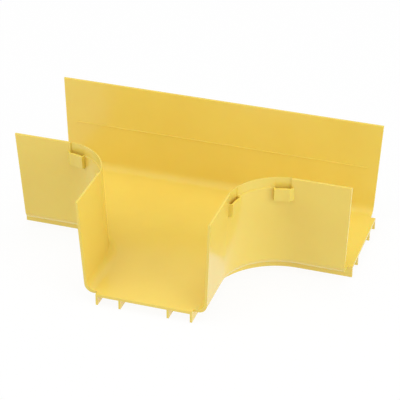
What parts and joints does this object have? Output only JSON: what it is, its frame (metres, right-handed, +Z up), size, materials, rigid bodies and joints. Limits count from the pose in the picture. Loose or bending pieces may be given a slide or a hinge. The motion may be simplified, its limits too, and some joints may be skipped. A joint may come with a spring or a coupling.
{
  "type": "fibre raceway tee fitting",
  "caption": "Moulded open-top tee trough for fibre raceway: flared ports at both ends and on the branch, sweeping corners with cover latches, support ribs under the floor.",
  "frame": {"origin": "on the plane of the rib undersides, under the middle of the whole outline", "axes": "+X along the straight run, +Y towards the plain back wall (the branch leaves towards -Y), +Z up"},
  "size_m": [0.3126, 0.2162, 0.1],
  "materials": {
    "yellow_plastic": "moulded yellow plastic with a smooth semi-gloss skin"
  },
  "bodies": {
    "root": {"tee_fitting": "yellow_plastic"}
  },
  "joints": []
}
